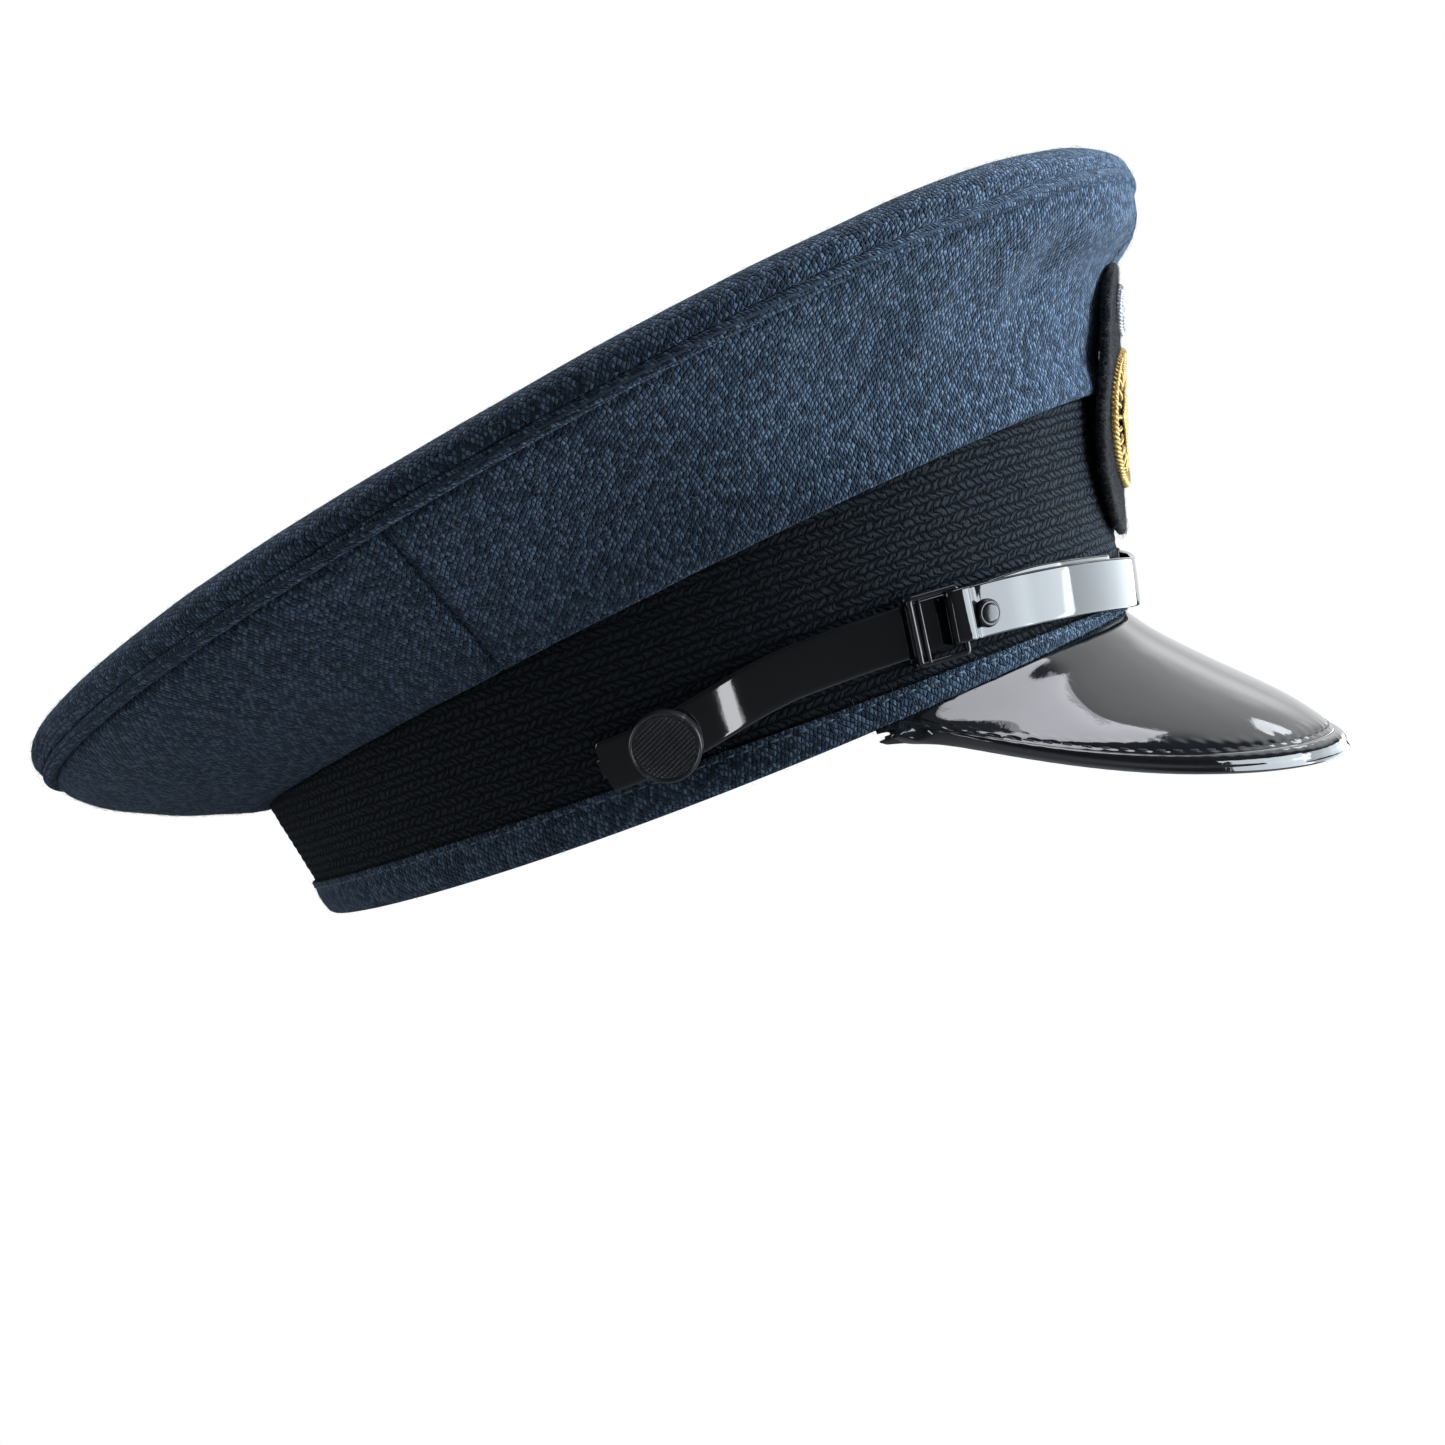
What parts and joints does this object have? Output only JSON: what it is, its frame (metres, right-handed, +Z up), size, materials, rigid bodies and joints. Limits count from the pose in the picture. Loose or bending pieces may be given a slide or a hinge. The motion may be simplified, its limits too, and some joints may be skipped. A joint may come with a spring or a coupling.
{
  "type": "peaked cap",
  "caption": "Stiff oval cap with a wide padded crown, ribbed band, glossy down-turned peak and a buckled chin strap.",
  "frame": {"origin": "centre of the head opening, in the plane of the band's lower edge", "axes": "+X to the peak (front), +Y to the wearer's left, +Z up through the crown"},
  "size_m": [0.2945, 0.2558, 0.1468],
  "materials": {
    "crown_cloth": "matt blue-grey wool barathea, softly napped",
    "black_braid": "matt black ribbed mohair braid",
    "pale_thread": "matt sewing thread",
    "black_thread": "waxed black sewing thread",
    "wadding": "soft cotton wadding",
    "lining_cloth": "satin lining",
    "black_felt": "matt black felt",
    "gold_wire": "bright gilt embroidery wire",
    "silver_wire": "bright silvered embroidery wire",
    "stay_board": "plain fibre board",
    "spring_steel": "plain spring steel wire",
    "brass_sleeve": "plain crimped sleeve",
    "clear_shield": "clear glossy sheet",
    "sweatband_leather": "semi-matt leather",
    "patent": "high-gloss black patent",
    "peak_underside": "semi-matt embossed lining",
    "black_metal": "gloss black lacquer",
    "button_black": "satin black with fine diagonal ribs"
  },
  "bodies": {
    "cap": {"crown_top_panel": "crown_cloth", "crown_welt": "crown_cloth", "quarter_front_left": "crown_cloth", "quarter_front_right": "crown_cloth", "quarter_back_left": "crown_cloth", "quarter_back_right": "crown_cloth", "rim_padding": "wadding", "grommet_wire": "spring_steel", "grommet_joiner": "brass_sleeve", "crown_front_stay": "stay_board", "crown_lining": "lining_cloth", "sweat_shield": "clear_shield", "band_stiffener": "stay_board", "mohair_braid": "black_braid", "band_welt": "crown_cloth", "welt_stitching": "pale_thread", "sweatband": "sweatband_leather", "peak_board": "stay_board", "peak_top_cover": "patent", "peak_lining": "peak_underside", "peak_binding": "patent", "peak_stitching": "black_thread", "badge_patch": "black_felt", "badge_backing": "stay_board", "badge_gold_embroidery": "gold_wire", "badge_silver_embroidery": "silver_wire"},
    "strap_ends": {"chin_strap_tail_right": "patent", "chin_strap_tail_left": "patent"},
    "strap_loop": {"chin_strap_front": "patent", "buckle_right": "black_metal", "buckle_left": "black_metal", "buckle_stud_right": "black_metal", "buckle_stud_left": "black_metal"},
    "button_right": {"side_button_right": "button_black", "button_washer_right": "black_metal"},
    "button_left": {"side_button_left": "button_black", "button_washer_left": "black_metal"}
  },
  "joints": [
    {"name": "chin_strap_swing", "type": "hinge", "parent": "cap", "child": "strap_ends", "pos_m": [0.01407, 0, 0.01089], "axis": [0, 1, 0], "range_deg": [0, 25]},
    {"name": "chin_strap_let_out", "type": "slide", "parent": "strap_ends", "child": "strap_loop", "axis": [1, 0, 0], "range_m": [0, 0.0625], "deforming": ["chin_strap_tail_right", "chin_strap_tail_left"]},
    {"name": "side_button_right_turn", "type": "hinge", "parent": "cap", "child": "button_right", "pos_m": [0.01407, -0.08548, 0.01089], "axis": [0.1077, -0.9811, -0.1607], "continuous": true},
    {"name": "side_button_left_turn", "type": "hinge", "parent": "cap", "child": "button_left", "pos_m": [0.01407, 0.08548, 0.01089], "axis": [0.1077, 0.9811, -0.1607], "continuous": true}
  ],
  "couplings": [
    {"joint": "chin_strap_let_out", "follows": "chin_strap_swing", "m_per_rad": 0.1432}
  ]
}
